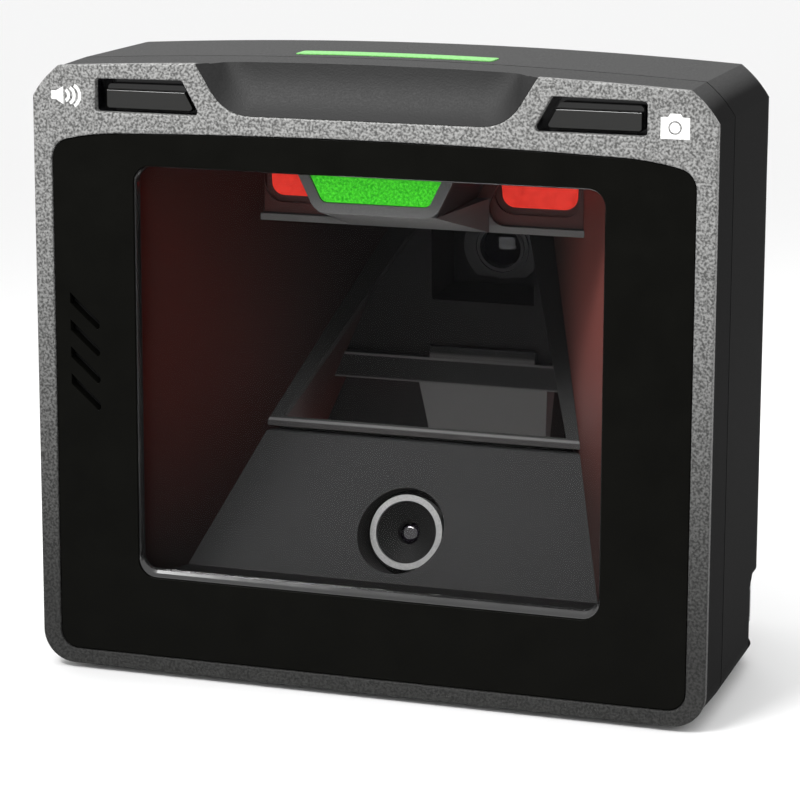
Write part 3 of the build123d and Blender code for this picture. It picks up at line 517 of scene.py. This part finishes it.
glass_black = lens_glass()
coat(ring_grey(), "camera_ring")
coat(moulded("cone_black", (0.006, 0.006, 0.006), 0.5, 0.3 * mm, 0.01 * mm, 0.12), "camera_cone",
     "camera_barrel")
coat(glass_black, "camera_lens", "imager_lens")
coat(board_green, "camera_board")

# ---------------------------------------------------------------- mirror
# First-surface mirror: aluminium on float glass, seated in a black rim and pressed from behind
# by a foam pad and a carrier plate.


def mirror_coat():
    material, tree, shader = new_finish("mirror_coat", (0.85, 0.85, 0.86), 0.02, 0.5, 1.0)
    roughened(tree, shader, grain(tree, 12 * mm), 0.01, 0.03)
    return material


coat(mirror_coat(), "fold_mirror")
coat(chamber_black, "mirror_carrier")


def rim_finish():
    """Black, with a lighter strip under the mirror's foot and a painted highlight, a bright line, at
    the strip's top.
    """
    black, strip, line = (0.007, 0.007, 0.007), (0.035, 0.033, 0.033), (0.12, 0.12, 0.12)
    strip_top, line_bottom, line_top = (51.3, 50.9), (50.5, 50.8), (51.3, 51.0)  # heights in mm
    material, tree, shader = new_finish("rim_black", black, 0.5, 0.25)
    colour = mixed(tree, along(tree, 2, *strip_top), black, strip)
    # painted highlight: the bright line
    painted_highlight_mask = both(tree, along(tree, 2, *line_bottom), along(tree, 2, *line_top))
    tree.links.new(mixed(tree, painted_highlight_mask, colour, line), shader.inputs["Base Color"])
    bumped(tree, shader, grain(tree, 0.5 * mm), 0.01 * mm)
    return material


coat(rim_finish(), "mirror_frame")

# ---------------------------------------------------------------- imager
# The scan engine looks down through a square pocket at the mirror. Its lens sits in a D-shaped
# black holder with turned rings, under a board of its own.
coat(moulded("holder_black", (0.06, 0.06, 0.06), 0.4, 0.4 * mm, 0.01 * mm), "imager_holder")
coat(moulded("sensor_dark", (0.03, 0.035, 0.05), 0.2), "imager_sensor")
coat(board_green, "imager_board")

# ---------------------------------------------------------------- illumination
# One black moulding holds the lamps. Painted light makes its chin, its rim's front and its rear
# lower edge satin grey, painted red lamplight fills its two pockets, and its nose carries a framed
# green aiming lens.


def module_finish():
    """Black, with painted light in grey and painted red lamplight in the pockets; each pair is where
    one fades in, in mm on Y or Z.
    """
    black, grey, pocket_lamplight_red = (0.009, 0.009, 0.009), (0.13, 0.127, 0.125), (0.06, 0.008, 0.006)
    rim_z, rim_y = (99.7, 99.4), (-3.2, -3.7)
    chin_z, chin_y = (105.6, 105.2), (-3.4, -4.0)
    edge_y, edge_z = (2.0, 2.3), (97.8, 97.5)
    pocket_y, pocket_z = (-4.4, -3.8), (99.4, 99.7)
    material, tree, shader = new_finish("module_black", black, 0.45, 0.25)
    fine = grain(tree, 0.5 * mm)
    # painted light: grey on the chin, the rim's front and the rear lower edge
    lit_rim = both(tree, along(tree, 2, *rim_z), along(tree, 1, *rim_y))
    lit_chin = both(tree, along(tree, 2, *chin_z), along(tree, 1, *chin_y))
    lit_bar_edge = both(tree, along(tree, 1, *edge_y), along(tree, 2, *edge_z))
    light = both(tree, both(tree, lit_rim, lit_chin, "MAXIMUM"), lit_bar_edge, "MAXIMUM")
    # painted red lamplight in the two pockets
    pocket_lamplight_mask = both(tree, along(tree, 1, *pocket_y), along(tree, 2, *pocket_z))
    colour = mixed(tree, pocket_lamplight_mask, black, pocket_lamplight_red)
    colour = mixed(tree, light, colour, grey)
    tree.links.new(colour, shader.inputs["Base Color"])
    roughened(tree, shader, fine, 0.4, 0.5)
    bumped(tree, shader, fine, 0.015 * mm)
    return material


coat(module_finish(), "illumination_housing")
coat(moulded("nose_grey", (0.085, 0.085, 0.085), 0.45, 0.5 * mm, 0.02 * mm), "nose_frame")
coat(glowing("green_lens_frosted", (0.012, 0.32, 0.006), (0.065, 0.58, 0.024), 0.55 * mm, 0.62, 0.35,
             0.12 * mm), "green_lens")
coat(glowing("red_frosted", (0.50, 0.018, 0.010), (0.60, 0.03, 0.02), 3.0 * mm, 0.85, 0.4),
     "red_diffusers")
coat(board_green, "lamp_board")
coat(glowing("red_diode", (0.6, 0.03, 0.02), (0.9, 0.08, 0.05), 0.5 * mm, 1.0, 0.3), "red_diodes")

# ---------------------------------------------------------------- main board
# A green board carries the processor, its memory, a shielded power circuit and the sockets.
# Flat amber cables join it to the scan engine and the colour camera.
coat(board_green, "main_board")
coat(zinc, "board_screws", "power_shield", "aux_port")
coat(brass, "host_contacts")
coat(moulded("chip_black", (0.02, 0.02, 0.022), 0.4, 0.3 * mm), "board_chips")
coat(moulded("socket_black", (0.022, 0.022, 0.024), 0.35, 0.6 * mm), "host_port", "board_connectors")
coat(moulded("ribbon_amber", (0.45, 0.20, 0.05), 0.3, 1.0 * mm), "flat_cables")
